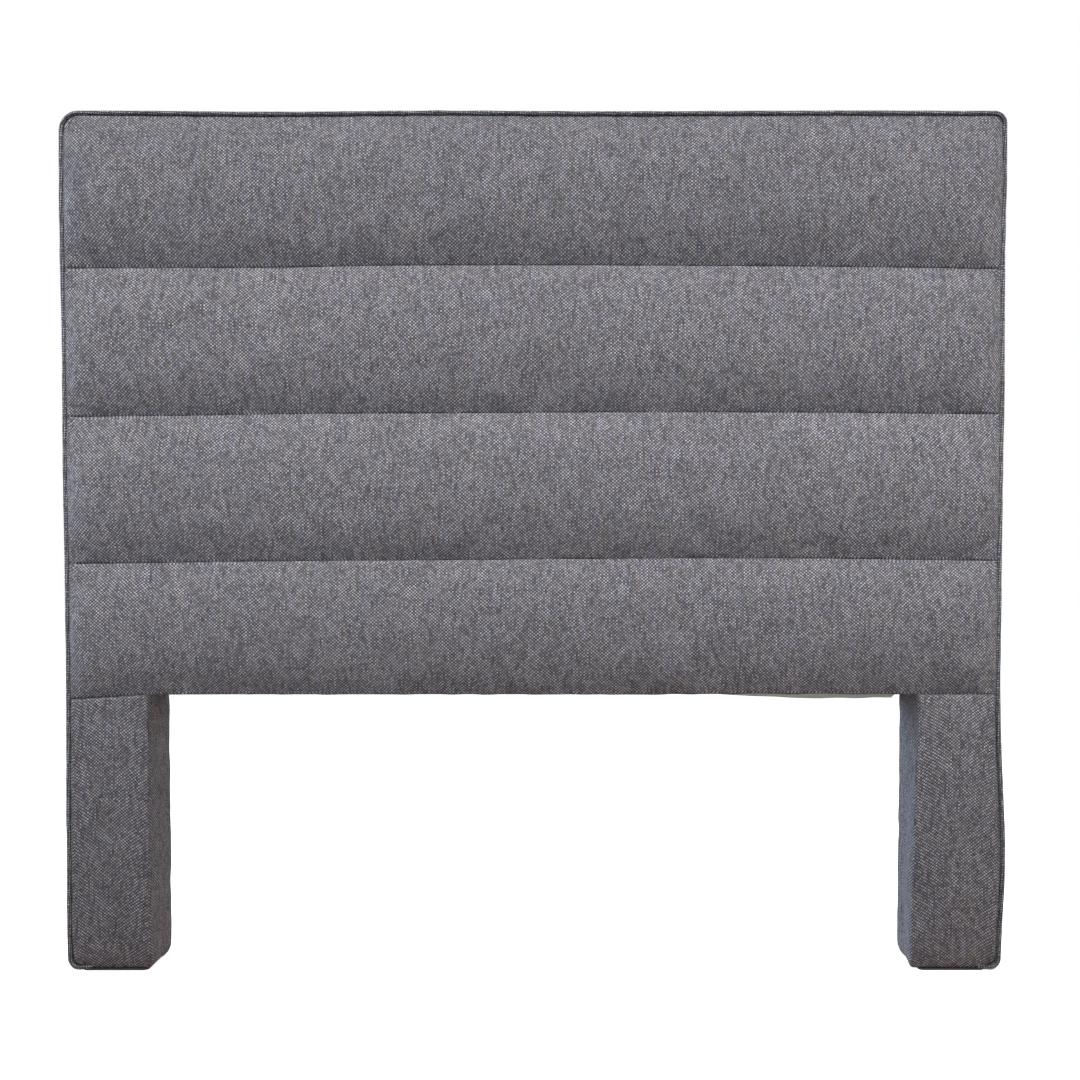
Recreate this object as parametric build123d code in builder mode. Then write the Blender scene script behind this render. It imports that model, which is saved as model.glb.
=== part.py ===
from build123d import *
import os

# An upholstered headboard that stands on two legs, in millimetres.
# X runs from left to right as seen from the front, Y from the front to the back, Z up from the floor.
# The origin lies on the floor, in the middle of the width and of the depth.

# Overall form
overall_width = 1630  # over the welt cords at both sides
leg_height = 488  # floor to the lower edge of the panel
leg_width = 143
bottom_channel_height = 230
lower_channel_height = 254
upper_channel_height = 251
top_channel_height = 270
top_corner_radius = 28
foot_outer_radius = 20  # lower corner of a leg at the outer side
foot_inner_radius = 8  # lower corner towards the gap between the legs
foot_back_radius = 20  # lower corner at the back
leg_edge_radius = 5  # upright front edge towards the gap

# Layers from the back to the front
lining_thickness = 1
cover_thickness = 1.5
cloth_gap = 0.2  # air between a cloth and what it lies on
timber_depth = 89
panel_thickness = 12
leg_pad_thickness = 8
crown_rise = 16  # middle of a channel in front of the leg face

# Timber frame
timber_thickness = 38
housing_depth = 10  # how far a rail end sits in an outer post

# Padding and cloth at the sides
side_padding_thickness = 4
hem_width = 18  # cloth turned onto the back
seam_gap = 0.3  # between the cloths that meet in a seam
seam_sink = 4  # seam edges behind the leg face
end_draw_length = 60  # over which a channel is drawn in at each end
lining_margin = 5

# Welt cord, wrapped in the same cloth
welt_diameter = 7.5
welt_proud = 1  # stands out past the cloth at the side and at the front
welt_sides = 12  # flat sides along the cord

# Holes for the bolts of a bed frame
bolt_inset = 69  # from the outer edge of the headboard to the middle of a bolt
lower_bolt_height = 170
upper_bolt_height = 302
bolt_hole_diameter = 9
bolt_block_margin = 40

# Base glides under the legs
glide_thickness = 3
glide_margin = 8

# Wood screws
frame_screw_length = 75
frame_screw_diameter = 5
frame_screw_head_diameter = 9.5
rail_screw_spread = 44  # between the two screws of a rail end
corner_screw_spread = 20
glide_screw_length = 25
glide_screw_diameter = 3.5
glide_screw_head_diameter = 7
glide_screw_sink = 0.4
screw_gap = 0.15
screw_sides = 6  # a screw and its pocket are drawn with this many flat sides

sharpest_corner = 1  # least radius left where a corner is drawn inwards
overrun = 3  # cutting bodies pass the faces that they cut by this much

# Shape of a channel, as shares of its half height, its rise and its drawn-in length
shoulder_height_share = 0.72
shoulder_rise_share = 0.74
draw_shares = ((0, 0.12), (0.16, 0.58), (0.48, 0.89), (1, 1))  # (way in from the end, rise reached)
screw_tip_share = 0.2  # width of a screw's blunt tip

# Heights of the whole and of the seams
lower_seam = leg_height + bottom_channel_height
middle_seam = lower_seam + lower_channel_height
upper_seam = middle_seam + upper_channel_height
overall_height = upper_seam + top_channel_height

# Depth planes
cloth_layer = cover_thickness + cloth_gap
overall_depth = (
    lining_thickness + cloth_gap + cloth_layer + timber_depth
    + panel_thickness + leg_pad_thickness + cloth_layer + crown_rise
)
back_face = overall_depth / 2
hem_back = back_face - lining_thickness - cloth_gap
timber_back = hem_back - cloth_layer
timber_front = timber_back - timber_depth
timber_middle = (timber_back + timber_front) / 2
panel_front = timber_front - panel_thickness
pad_front = panel_front - leg_pad_thickness
leg_front = pad_front - cloth_layer
crown_front = leg_front - crown_rise
welt_radius = welt_diameter / 2
welt_middle = leg_front - welt_proud + welt_radius
border_front = welt_middle + welt_radius + cloth_gap

# Upright planes, from how far each layer lies inside the outer edge of the headboard
half_width = overall_width / 2
border_inset = welt_proud
padding_inset = border_inset + cloth_layer
timber_inset = padding_inset + side_padding_thickness
face_inset = welt_diameter + cloth_gap
timber_outer = half_width - timber_inset
face_edge = half_width - face_inset
leg_inner = half_width - leg_width
timber_inner = leg_inner + cloth_layer
outer_post_inner = timber_outer - timber_thickness
inner_post_outer = timber_inner + timber_thickness
foot_reach = half_width - foot_outer_radius
bolt_offset = half_width - bolt_inset

# Level planes
foot_floor = glide_thickness + padding_inset
foot_spring = glide_thickness + foot_outer_radius
leg_top = leg_height - seam_gap / 2
panel_floor = leg_height + cloth_layer
timber_top = overall_height - timber_inset
corner_spring = overall_height - top_corner_radius

# Middle heights of the rails: one at the lower edge and one behind each seam
housed_rails = {
    "bottom_rail": panel_floor + timber_thickness / 2,
    "lower_rail": lower_seam,
    "middle_rail": middle_seam,
    "upper_rail": upper_seam,
}
sides = {"left": -1, "right": 1}

os.makedirs("parts", exist_ok=True)


def save(piece, name):
    """Label a finished piece and write it under its own name."""
    piece.label = name
    export_step(piece, f"parts/{name}.step")


def board(x_from, x_to, back, front, low, high, mode=Mode.ADD):
    """A straight board between six planes, added to or cut from the piece that is being built."""
    with Locations(((x_from + x_to) / 2, (back + front) / 2, (low + high) / 2)):
        Box(abs(x_to - x_from), back - front, high - low, mode=mode)


def tablet(inset, depth):
    """The outer outline at a depth, drawn inwards, as if there were no gap between the legs."""
    low = glide_thickness + inset
    high = overall_height - inset
    with BuildSketch(Plane.XZ.offset(-depth)) as outline:
        with Locations((0, (low + high) / 2)):
            Rectangle(2 * (half_width - inset), high - low)
        fillet(outline.vertices().group_by(Axis.Y)[-1], max(top_corner_radius - inset, sharpest_corner))
        fillet(outline.vertices().group_by(Axis.Y)[0], max(foot_outer_radius - inset, sharpest_corner))
    return outline.sketch


def rim(outer_inset, inner_inset, back, front):
    """A band along the outer outline, from under one foot over the top to under the other."""
    with BuildPart() as band:
        extrude(tablet(outer_inset, back), amount=back - front)
        extrude(tablet(inner_inset, back), amount=back - front, mode=Mode.SUBTRACT)
        board(-foot_reach, foot_reach, back, front, 0, leg_height, Mode.SUBTRACT)
    return band.part


def foot_side(inset):
    """The side view of a leg as a solid across the whole width, with its rounded lower back corner."""
    low = glide_thickness + inset
    back = hem_back - inset
    with BuildPart() as block:
        with BuildSketch(Plane.YZ):
            with Locations((back, low)):
                profile = Rectangle(back - crown_front, overall_height, align=(Align.MAX, Align.MIN))
            fillet(profile.vertices().group_by(Axis.Y)[0].sort_by(Axis.X)[-1], foot_back_radius - inset)
        extrude(amount=half_width, both=True)
    return block.part


def screw(length, diameter, head_diameter, gap=0):
    """A countersunk screw along +Z with its head at the origin, or its pocket where a gap is given."""
    neck = (head_diameter - diameter) / 2
    stations = [
        (0, head_diameter / 2 + gap),
        (neck, diameter / 2 + gap),
        (length - diameter, diameter / 2 + gap),
        (length + gap, (diameter / 2 + gap) * screw_tip_share),
    ]
    with BuildPart() as body:
        for height, radius in stations:
            with BuildSketch(Plane.XY.offset(height)):
                RegularPolygon(radius, screw_sides)
        loft(ruled=True)
    return body.part


def rail_screw_places(side):
    """Where the screws enter an outer post on their way into the rail ends."""
    heading = Vector(-side, 0, 0)
    return [
        Plane(origin=(side * timber_outer, timber_middle + step, height), z_dir=heading).location
        for height in housed_rails.values()
        for step in (-rail_screw_spread / 2, rail_screw_spread / 2)
    ]


def corner_screw_places(side):
    """Where the screws enter the end of the top rail on their way down into an outer post."""
    flat_middle = (outer_post_inner + half_width - top_corner_radius) / 2
    lap_middle = (timber_middle + timber_front) / 2
    return [
        Plane(origin=(side * flat_middle, lap_middle + step, timber_top), z_dir=(0, 0, -1)).location
        for step in (-corner_screw_spread / 2, corner_screw_spread / 2)
    ]


def glide_screw_places(side):
    """Where the screws enter a base glide from below on their way into the two posts."""
    return [
        Plane(origin=(side * middle, timber_middle, glide_screw_sink), z_dir=(0, 0, 1)).location
        for middle in (timber_inner + timber_thickness / 2, timber_outer - timber_thickness / 2)
    ]


def frame_screw(gap=0):
    return screw(frame_screw_length, frame_screw_diameter, frame_screw_head_diameter, gap)


def glide_screw(gap=0):
    return screw(glide_screw_length, glide_screw_diameter, glide_screw_head_diameter, gap)


def bolt_holes(side):
    """Two bolt holes from front to back, cut from the piece that is being built."""
    places = [(side * bolt_offset, 0, height) for height in (lower_bolt_height, upper_bolt_height)]
    with Locations(*[Location(place, (90, 0, 0)) for place in places]):
        Cylinder(bolt_hole_diameter / 2, overall_depth + 2 * overrun, mode=Mode.SUBTRACT)


def outer_edge(piece, side, level):
    """The edge from front to back at the lowest (0) or highest (-1) level, outermost on this side."""
    level_edges = piece.edges().filter_by(Axis.Y).group_by(Axis.Z)[level]
    return level_edges.sort_by(Axis.X)[-1 if side > 0 else 0]


def round_foot(piece, side):
    """Round the two lower corners of a leg layer that reaches from the gap side to the outer side."""
    fillet(outer_edge(piece, side, 0), foot_outer_radius - side_padding_thickness)
    fillet(outer_edge(piece, -side, 0), foot_inner_radius - cloth_layer)


# Outer posts run from the foot to the top. Their front half is lapped under the top rail.
for name, side in sides.items():
    with BuildPart() as outer_post:
        board(
            side * outer_post_inner, side * timber_outer, timber_back, timber_front,
            foot_floor, timber_top,
        )
        fillet(outer_edge(outer_post, side, -1), top_corner_radius - timber_inset)
        fillet(outer_edge(outer_post, side, 0), foot_outer_radius - side_padding_thickness)
        add(foot_side(cloth_layer), mode=Mode.INTERSECT)
        board(
            side * outer_post_inner, side * timber_outer, timber_middle, timber_front,
            timber_top - timber_thickness, timber_top, Mode.SUBTRACT,
        )
        for height in housed_rails.values():
            board(
                side * outer_post_inner, side * (outer_post_inner + housing_depth),
                timber_back, timber_front,
                height - timber_thickness / 2, height + timber_thickness / 2, Mode.SUBTRACT,
            )
        with Locations(*rail_screw_places(side), *corner_screw_places(side)):
            add(frame_screw(screw_gap), mode=Mode.SUBTRACT)
        with Locations(*glide_screw_places(side)):
            add(glide_screw(screw_gap), mode=Mode.SUBTRACT)
    save(outer_post.part, f"outer_post_{name}")

# Inner posts run from the foot to the lower rail, and cross the two rails with half laps.
for name, side in sides.items():
    with BuildPart() as inner_post:
        board(
            side * timber_inner, side * inner_post_outer, timber_back, timber_front,
            foot_floor, lower_seam + timber_thickness / 2,
        )
        fillet(outer_edge(inner_post, -side, 0), foot_inner_radius - cloth_layer)
        add(foot_side(cloth_layer), mode=Mode.INTERSECT)
        for height in (housed_rails["bottom_rail"], housed_rails["lower_rail"]):
            board(
                side * timber_inner, side * inner_post_outer, timber_middle, timber_front,
                height - timber_thickness / 2, height + timber_thickness / 2, Mode.SUBTRACT,
            )
        with Locations(*glide_screw_places(side)):
            add(glide_screw(screw_gap), mode=Mode.SUBTRACT)
    save(inner_post.part, f"inner_post_{name}")

# The centre stile stands on the bottom rail and is lapped across the rails behind the seams.
with BuildPart() as centre_stile:
    board(
        -timber_thickness / 2, timber_thickness / 2, timber_back, timber_front,
        housed_rails["bottom_rail"] + timber_thickness / 2, timber_top - timber_thickness,
    )
    for height in (lower_seam, middle_seam, upper_seam):
        board(
            -timber_thickness / 2, timber_thickness / 2, timber_middle, timber_front,
            height - timber_thickness / 2, height + timber_thickness / 2, Mode.SUBTRACT,
        )
save(centre_stile.part, "centre_stile")

# Housed rails give up their back half wherever an upright crosses them.
rail_half_length = outer_post_inner + housing_depth
inner_post_middle = timber_inner + timber_thickness / 2
crossings = {
    "bottom_rail": (-inner_post_middle, inner_post_middle),
    "lower_rail": (-inner_post_middle, 0, inner_post_middle),
    "middle_rail": (0,),
    "upper_rail": (0,),
}
for name, height in housed_rails.items():
    low = height - timber_thickness / 2
    high = height + timber_thickness / 2
    with BuildPart() as rail:
        board(-rail_half_length, rail_half_length, timber_back, timber_front, low, high)
        for middle in crossings[name]:
            board(
                middle - timber_thickness / 2, middle + timber_thickness / 2,
                timber_back, timber_middle, low, high, Mode.SUBTRACT,
            )
        with Locations(*rail_screw_places(-1), *rail_screw_places(1)):
            add(frame_screw(screw_gap), mode=Mode.SUBTRACT)
    save(rail.part, name)

# The top rail lies over the outer posts: its back half is cut away there, and its ends are rounded.
with BuildPart() as top_rail:
    board(-timber_outer, timber_outer, timber_back, timber_front, timber_top - timber_thickness, timber_top)
    for side in sides.values():
        fillet(outer_edge(top_rail, side, -1), top_corner_radius - timber_inset)
    for side in sides.values():
        board(
            side * outer_post_inner, side * timber_outer, timber_back, timber_middle,
            timber_top - timber_thickness, timber_top, Mode.SUBTRACT,
        )
    with Locations(*corner_screw_places(-1), *corner_screw_places(1)):
        add(frame_screw(screw_gap), mode=Mode.SUBTRACT)
save(top_rail.part, "top_rail")

# Blocks fill each leg between its posts: one at the foot and one where the bolts pass through.
for name, side in sides.items():
    with BuildPart() as foot_block:
        board(
            side * inner_post_outer, side * outer_post_inner, timber_back, timber_front,
            foot_floor, foot_floor + timber_thickness,
        )
        add(foot_side(cloth_layer), mode=Mode.INTERSECT)
    save(foot_block.part, f"foot_block_{name}")

    with BuildPart() as bolt_block:
        board(
            side * inner_post_outer, side * outer_post_inner, timber_back, timber_front,
            lower_bolt_height - bolt_block_margin, upper_bolt_height + bolt_block_margin,
        )
        bolt_holes(side)
    save(bolt_block.part, f"bolt_block_{name}")

# Plywood closes the front of the frame and of each leg.
with BuildPart() as front_panel:
    extrude(tablet(timber_inset, timber_front), amount=panel_thickness)
    board(
        -half_width, half_width, timber_front + overrun, panel_front - overrun,
        0, panel_floor, Mode.SUBTRACT,
    )
save(front_panel.part, "front_panel")

for name, side in sides.items():
    with BuildPart() as leg_facing:
        board(side * timber_inner, side * timber_outer, timber_front, panel_front, foot_floor, panel_floor)
        round_foot(leg_facing, side)
        bolt_holes(side)
    save(leg_facing.part, f"leg_facing_{name}")

# Screws that hold the rails to the outer posts, and the glides to the feet
with BuildPart() as frame_screws:
    for side in sides.values():
        with Locations(*rail_screw_places(side), *corner_screw_places(side)):
            add(frame_screw())
save(frame_screws.part, "frame_screws")

with BuildPart() as glide_screws:
    for side in sides.values():
        with Locations(*glide_screw_places(side)):
            add(glide_screw())
save(glide_screws.part, "glide_screws")

# Base glides, flat plates on which the headboard stands. The screw heads lie a little below their faces.
with BuildPart() as opening:
    with BuildSketch(Plane.XY.offset(-glide_screw_sink)):
        RegularPolygon(glide_screw_head_diameter / 2 + screw_gap, screw_sides)
    extrude(amount=glide_screw_sink)
glide_screw_opening = opening.part

for name, side in sides.items():
    with BuildPart() as base_glide:
        board(
            side * (leg_inner + foot_inner_radius), side * foot_reach,
            hem_back - foot_back_radius, leg_front + glide_margin, 0, glide_thickness,
        )
        fillet(base_glide.edges().filter_by(Axis.Z), glide_margin)
        with Locations(*glide_screw_places(side)):
            add(glide_screw(screw_gap), mode=Mode.SUBTRACT)
            add(glide_screw_opening, mode=Mode.SUBTRACT)
    save(base_glide.part, f"base_glide_{name}")


def channel_section(x, low, high, edge, rise, base):
    """One channel cut across: a flat back, two straight sides and a crown of three tangent arcs."""
    middle = (low + high) / 2
    shoulder = (high - low) / 2 * shoulder_height_share
    shoulder_front = edge - rise * shoulder_rise_share
    with BuildSketch(Plane.YZ.offset(x)) as section:
        with BuildLine():
            crown = ThreePointArc(
                (shoulder_front, middle - shoulder),
                (edge - rise, middle),
                (shoulder_front, middle + shoulder),
            )
            TangentArc(crown @ 1, (edge, high), tangent=crown % 1)
            TangentArc(crown @ 0, (edge, low), tangent=(crown % 0) * -1)
            Polyline((edge, high), (base, high), (base, low), (edge, low))
        make_face()
    return section.sketch


def channel(low, high, inset, base):
    """A crowned bar from side to side whose crown is drawn in at both ends, all faces moved in by inset.

    The outer face is smooth along the drawn-in ends. The layers under it run straight between sections.
    """
    low += inset
    high -= inset
    end = face_edge - inset
    edge = leg_front + seam_sink + inset
    rise = seam_sink + crown_rise
    with BuildPart() as bar:
        for side in sides.values():
            sections = [
                channel_section(side * (end - way * end_draw_length), low, high, edge, rise * reached, base)
                for way, reached in draw_shares
            ]
            loft(sections, ruled=inset > 0)
        full_section = channel_section(end_draw_length - end, low, high, edge, rise, base)
        extrude(full_section, amount=2 * (end - end_draw_length))
        if high > corner_spring:
            extrude(tablet(face_inset + inset, base), amount=base - crown_front, mode=Mode.INTERSECT)
    return bar.part


# Each channel is a strip of foam under its own cloth, which turns in at the seams down to the plywood.
channel_ends = {
    "bottom": (leg_height, lower_seam),
    "lower": (lower_seam, middle_seam),
    "upper": (middle_seam, upper_seam),
    "top": (upper_seam, overall_height - face_inset),
}
for name, (low, high) in channel_ends.items():
    low += seam_gap / 2
    if name != "top":
        high -= seam_gap / 2
    with BuildPart() as channel_foam:
        add(channel(low, high, cloth_layer, panel_front))
    save(channel_foam.part, f"channel_foam_{name}")

    with BuildPart() as channel_cover:
        add(channel(low, high, 0, panel_front - cloth_gap))
        add(channel(low, high, cover_thickness, panel_front), mode=Mode.SUBTRACT)
    save(channel_cover.part, f"channel_cover_{name}")


def leg_envelope(side, inset):
    """The soft outer form of a leg: rounded in front view, in side view and in plan."""
    inner = leg_inner + inset
    low = glide_thickness + inset
    high = leg_top - inset
    front = leg_front + inset
    back = hem_back - inset
    toward_gap = Align.MIN if side > 0 else Align.MAX
    gap_end = 0 if side > 0 else -1
    with BuildPart() as envelope:
        with BuildSketch(Plane.XZ.offset(-back)) as front_view:
            with Locations((side * inner, low)):
                Rectangle(face_edge - inner, high - low, align=(toward_gap, Align.MIN))
            inner_corner = front_view.vertices().group_by(Axis.Y)[0].sort_by(Axis.X)[gap_end]
            fillet(inner_corner, foot_inner_radius - inset)
            outer_corner = front_view.vertices().group_by(Axis.Y)[0].sort_by(Axis.X)[-1 - gap_end]
            fillet(outer_corner, foot_outer_radius - face_inset)
        extrude(amount=back - front)
        with BuildSketch(Plane.YZ) as side_view:
            with Locations((back, low)):
                Rectangle(back - front, high - low, align=(Align.MAX, Align.MIN))
            back_corner = side_view.vertices().group_by(Axis.Y)[0].sort_by(Axis.X)[-1]
            fillet(back_corner, foot_back_radius - inset)
            top_corner = side_view.vertices().group_by(Axis.Y)[-1].sort_by(Axis.X)[0]
            fillet(top_corner, seam_sink - inset)
        extrude(amount=side * half_width, mode=Mode.INTERSECT)
        with BuildSketch(Plane.XY) as plan:
            with Locations((side * inner, front)):
                Rectangle(face_edge - inner, back - front, align=(toward_gap, Align.MIN))
            front_corner = plan.vertices().group_by(Axis.Y)[0].sort_by(Axis.X)[gap_end]
            fillet(front_corner, leg_edge_radius - inset)
        extrude(amount=leg_height, mode=Mode.INTERSECT)
    return envelope.part


# A thin pad softens the front of each leg. It leaves room for the welt cord.
for name, side in sides.items():
    with BuildPart() as leg_pad:
        add(leg_envelope(side, cloth_layer))
        board(
            side * timber_inner, side * half_width, panel_front, pad_front,
            foot_floor, leg_height, Mode.INTERSECT,
        )
        add(rim(0, face_inset, panel_front, pad_front), mode=Mode.SUBTRACT)
        bolt_holes(side)
    save(leg_pad.part, f"leg_pad_{name}")

# The cloth of each leg covers its front, its side towards the gap and its foot, and turns onto the back.
# Above, it is tucked into the seam under the panel, open only where the posts and the plywood pass.
for name, side in sides.items():
    with BuildPart() as leg_cover:
        add(leg_envelope(side, 0))
        add(leg_envelope(side, cover_thickness), mode=Mode.SUBTRACT)
        board(
            side * (leg_inner + cover_thickness), side * half_width, hem_back, panel_front - cloth_gap,
            leg_top - hem_width, leg_height, Mode.SUBTRACT,
        )
        board(
            side * (leg_inner + hem_width), side * half_width, hem_back + overrun, timber_back,
            glide_thickness + hem_width, leg_height, Mode.SUBTRACT,
        )
        add(rim(0, face_inset, hem_back + overrun, leg_front - overrun), mode=Mode.SUBTRACT)
        hem_inset = border_inset + hem_width + cloth_gap
        add(rim(0, hem_inset, hem_back + overrun, timber_back), mode=Mode.SUBTRACT)
        bolt_holes(side)
        with Locations(*glide_screw_places(side)):
            add(glide_screw(screw_gap), mode=Mode.SUBTRACT)
    save(leg_cover.part, f"leg_cover_{name}")

# The cloth under the panel runs from the lowest channel to the back and turns up there.
with BuildPart() as underside_cover:
    reach = timber_inner - cloth_gap
    board(-reach, reach, hem_back, panel_front, leg_height, leg_height + cover_thickness)
    board(-reach, reach, hem_back, hem_back - cover_thickness, leg_height, leg_height + hem_width)
save(underside_cover.part, "underside_cover")

# Padding and border cloth go round the outer sides in three lengths, joined below the top corners.
spans = {
    "left": (-half_width, 0, 0, corner_spring - seam_gap / 2),
    "right": (0, half_width, 0, corner_spring - seam_gap / 2),
    "top": (-half_width, half_width, corner_spring + seam_gap / 2, overall_height),
}
for name, (x_from, x_to, low, high) in spans.items():
    with BuildPart() as side_padding:
        board(x_from, x_to, timber_back, border_front, max(low, foot_spring), high)
        add(rim(padding_inset, timber_inset, timber_back, border_front), mode=Mode.INTERSECT)
    save(side_padding.part, f"side_padding_{name}")

    with BuildPart() as side_border:
        add(rim(border_inset, border_inset + cover_thickness, hem_back, border_front))
        add(rim(border_inset, border_inset + hem_width, hem_back, hem_back - cover_thickness))
        add(foot_side(0), mode=Mode.INTERSECT)
        board(x_from, x_to, hem_back, border_front, low, high, Mode.INTERSECT)
    save(side_border.part, f"side_border_{name}")

# One welt cord follows the outer front edge from under one foot to under the other.
welt_side = half_width - welt_radius
welt_top = overall_height - welt_radius
welt_foot = glide_thickness + welt_radius
with BuildPart() as welt_cord:
    with BuildLine(Plane.XZ.offset(-welt_middle)) as welt_path:
        for side in sides.values():
            Line((0, welt_top), (side * (half_width - top_corner_radius), welt_top))
            RadiusArc(
                (side * (half_width - top_corner_radius), welt_top), (side * welt_side, corner_spring),
                side * (top_corner_radius - welt_radius),
            )
            Line((side * welt_side, corner_spring), (side * welt_side, foot_spring))
            RadiusArc(
                (side * welt_side, foot_spring), (side * foot_reach, welt_foot),
                side * (foot_outer_radius - welt_radius),
            )
    with BuildSketch(Plane(origin=(-foot_reach, welt_middle, welt_foot), z_dir=(-1, 0, 0))):
        RegularPolygon(welt_radius, welt_sides)
    sweep(path=welt_path.wire())
save(welt_cord.part, "welt_cord")

# A thin lining closes the back of the panel and of each leg.
with BuildPart() as back_lining:
    extrude(tablet(border_inset + lining_margin, back_face), amount=lining_thickness)
    board(
        -half_width, half_width, back_face + overrun, back_face - lining_thickness - overrun,
        0, leg_height + lining_margin, Mode.SUBTRACT,
    )
save(back_lining.part, "back_lining")

for name, side in sides.items():
    with BuildPart() as leg_lining:
        board(
            side * (leg_inner + lining_margin), side * (half_width - border_inset - lining_margin),
            back_face, back_face - lining_thickness,
            foot_spring + lining_margin, leg_height + lining_margin - seam_gap,
        )
        bolt_holes(side)
    save(leg_lining.part, f"leg_lining_{name}")
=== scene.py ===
# %% [markdown]
# # A headboard with four padded channels
# Posts, rails, plywood and foam of this headboard exist as solids. This lesson dresses them: cloth over the
# channels and legs, a welt cord, a border round the sides, a lining on the back, and a finish for every part.
# Lengths are metres. X runs to the right, -Y out of the padded front, and Z up from the floor.

import math

import bpy
import numpy as np
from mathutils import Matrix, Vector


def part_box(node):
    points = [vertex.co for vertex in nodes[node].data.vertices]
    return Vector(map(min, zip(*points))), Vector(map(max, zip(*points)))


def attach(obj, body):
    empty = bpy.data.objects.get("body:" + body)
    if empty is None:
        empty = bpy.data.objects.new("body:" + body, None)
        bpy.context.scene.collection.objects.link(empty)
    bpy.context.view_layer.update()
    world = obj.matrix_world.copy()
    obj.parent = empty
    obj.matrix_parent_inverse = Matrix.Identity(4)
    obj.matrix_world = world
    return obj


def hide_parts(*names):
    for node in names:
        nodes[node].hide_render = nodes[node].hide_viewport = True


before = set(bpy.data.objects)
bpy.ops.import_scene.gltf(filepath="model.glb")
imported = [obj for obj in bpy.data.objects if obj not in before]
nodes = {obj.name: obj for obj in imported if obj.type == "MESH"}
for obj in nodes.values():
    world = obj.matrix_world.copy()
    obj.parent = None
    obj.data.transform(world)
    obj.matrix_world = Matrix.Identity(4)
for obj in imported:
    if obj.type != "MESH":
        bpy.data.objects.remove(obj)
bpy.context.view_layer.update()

# %% [markdown]
# ## Sums on sockets
# A finish is a small network of nodes that works out a colour or a height at each place. Drawn by hand it
# gets hard to read, so here an output socket is wrapped in a class: `1 - mask` or `u * 2 + v` adds its Math
# nodes, and one method, `node`, adds every other kind of node.

# %% A socket that can be used in sums


def sign(operation, turned=False):
    """A method for a sign in a sum. Turned, it is for a wire on the right of the sign."""
    def method(wire, other):
        pair = (other, wire) if turned else (wire, other)
        return wire.node("Math", dict(enumerate(pair)), operation=operation)
    return method


class Wire:
    """An output socket. Sums of wires and numbers add Math nodes, and node() adds any other node."""

    def __init__(self, tree, socket):
        self.tree = tree
        self.socket = socket

    def node(self, kind, values=None, output=None, **settings):
        """Add a ShaderNode: its settings or a ramp's stops first, then the values or links of its sockets."""
        new = self.tree.nodes.new("ShaderNode" + kind)
        for setting, choice in settings.items():
            if setting == "stops":
                set_stops(new.color_ramp, choice)
            else:
                setattr(new, setting, choice)
        for name, value in (values or {}).items():
            socket = new.inputs[name] if isinstance(name, int) else enabled(new.inputs, name)
            if isinstance(value, Wire):
                self.tree.links.new(value.socket, socket)
            else:
                socket.default_value = value
        picked = enabled(new.outputs, output) if output else next(s for s in new.outputs if s.enabled)
        return Wire(self.tree, picked)

    __add__ = __radd__ = sign("ADD")
    __mul__ = __rmul__ = sign("MULTIPLY")
    __sub__, __rsub__ = sign("SUBTRACT"), sign("SUBTRACT", turned=True)
    __pow__, __rpow__ = sign("POWER"), sign("POWER", turned=True)
    __truediv__, __rtruediv__ = sign("DIVIDE"), sign("DIVIDE", turned=True)
    __mod__, __rmod__ = sign("FLOORED_MODULO"), sign("FLOORED_MODULO", turned=True)

    def math(self, operation):
        return self.node("Math", {0: self}, operation=operation)

    def clamped(self):
        return self.node("Clamp", {"Value": self})

    def place(self, kind="Object"):
        """The place that is being coloured."""
        return self.node("TexCoord", output=kind)

    def part(self, axis):
        """One coordinate of this place."""
        return self.node("SeparateXYZ", {"Vector": self}, axis)

    def noise(self, scale, detail=2.0, dimensions="3D", distortion=0.0, output=None):
        """Soft noise from 0 to 1 at this place."""
        values = {"Vector": self, "Scale": scale, "Detail": detail, "Distortion": distortion}
        return self.node("TexNoise", values, output, noise_dimensions=dimensions)


def enabled(sockets, name):
    """The socket of that name that the node's settings leave switched on."""
    return next(socket for socket in sockets if socket.name == name and socket.enabled)


def set_stops(ramp, stops):
    """Give a new colour ramp its stops, each a position from 0 to 1 with a colour."""
    ramp.elements.remove(ramp.elements[1])
    ramp.elements[0].position, ramp.elements[0].color = stops[0]
    for position, colour in stops[1:]:
        ramp.elements.new(position).color = colour


def mixed(factor, first, second):
    """The first colour where the factor is 0, and the second where it is 1."""
    return factor.node("Mix", {"Factor": factor, "A": first, "B": second}, data_type="RGBA")


def bumped(height, distance, strength):
    """A relief of that height, for the socket Normal."""
    return height.node("Bump", {"Height": height, "Distance": distance, "Strength": strength})


def new_finish(name, **constants):
    """A material, its Principled shader, and a wire from which its nodes can be added."""
    material = bpy.data.materials.new(name)
    material.use_nodes = True
    shader = material.node_tree.nodes["Principled BSDF"]
    for socket, value in constants.items():
        shader.inputs[socket.replace("_", " ")].default_value = value
    return material, shader, Wire(material.node_tree, shader.outputs[0])


def connect(shader, **wires):
    """Lead wires into the shader's sockets of those names, as in Base_Color=wire."""
    for socket, wire in wires.items():
        wire.tree.links.new(wire.socket, shader.inputs[socket.replace("_", " ")])


print("a sum can be written as wire * 2 + 1")

# %% [markdown]
# ## Tweed
# The cloth is a coarse plain weave: pale, uneven warp yarns stand out of a darker weft as upright dotted
# streaks. A picture of cloth would show its joins, and one colour would look like plastic. Here each crossing
# of two yarns is worked out from the cloth's map in metres: which yarn is on top, how light and how high.
# Each yarn is also painted darker towards its edges and between the yarns, as painted shade.

# %% The weave as a network
WARP_PITCH = 0.0031
WEFT_PITCH = 0.0028
FIRST_YARN = 2000  # keeps the numbers of the yarns above zero
YARN_STEP = 3.71  # from yarn to yarn in the noise, far enough that neighbours differ
TONE_CONTRAST = 30.0  # how many times lighter a tone of 1 is than a tone of 0
COOL, NEUTRAL = (0.95, 0.990, 1.21, 1), (1.03, 1.012, 1.08, 1)


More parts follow.
